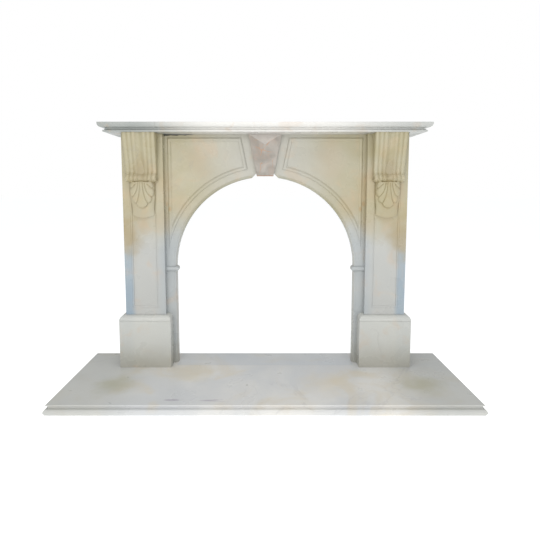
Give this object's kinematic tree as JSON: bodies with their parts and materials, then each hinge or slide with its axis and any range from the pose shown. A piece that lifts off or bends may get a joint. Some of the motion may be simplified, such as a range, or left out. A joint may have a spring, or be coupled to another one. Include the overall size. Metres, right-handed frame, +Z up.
{
  "type": "fireplace mantel",
  "caption": "Arched marble fireplace mantel with carved corbels, sunk pilaster panels, a pyramid keystone and a moulded hearth slab.",
  "frame": {"origin": "middle of the hearth slab's underside", "axes": "+X along the shelf, +Y back to the wall, +Z up"},
  "size_m": [1.718, 0.5, 1.16],
  "materials": {
    "surround_marble": "polished",
    "hearth_marble": "polished",
    "keystone_marble": "polished"
  },
  "bodies": {
    "root": {"hearth": "hearth_marble", "left_plinth": "surround_marble", "right_plinth": "surround_marble", "left_pilaster": "surround_marble", "right_pilaster": "surround_marble", "left_return": "surround_marble", "right_return": "surround_marble", "left_slip": "surround_marble", "right_slip": "surround_marble", "left_spandrel": "surround_marble", "right_spandrel": "surround_marble", "left_corbel": "surround_marble", "right_corbel": "surround_marble", "keystone": "keystone_marble", "bed_mould": "surround_marble", "shelf": "surround_marble"}
  },
  "joints": []
}
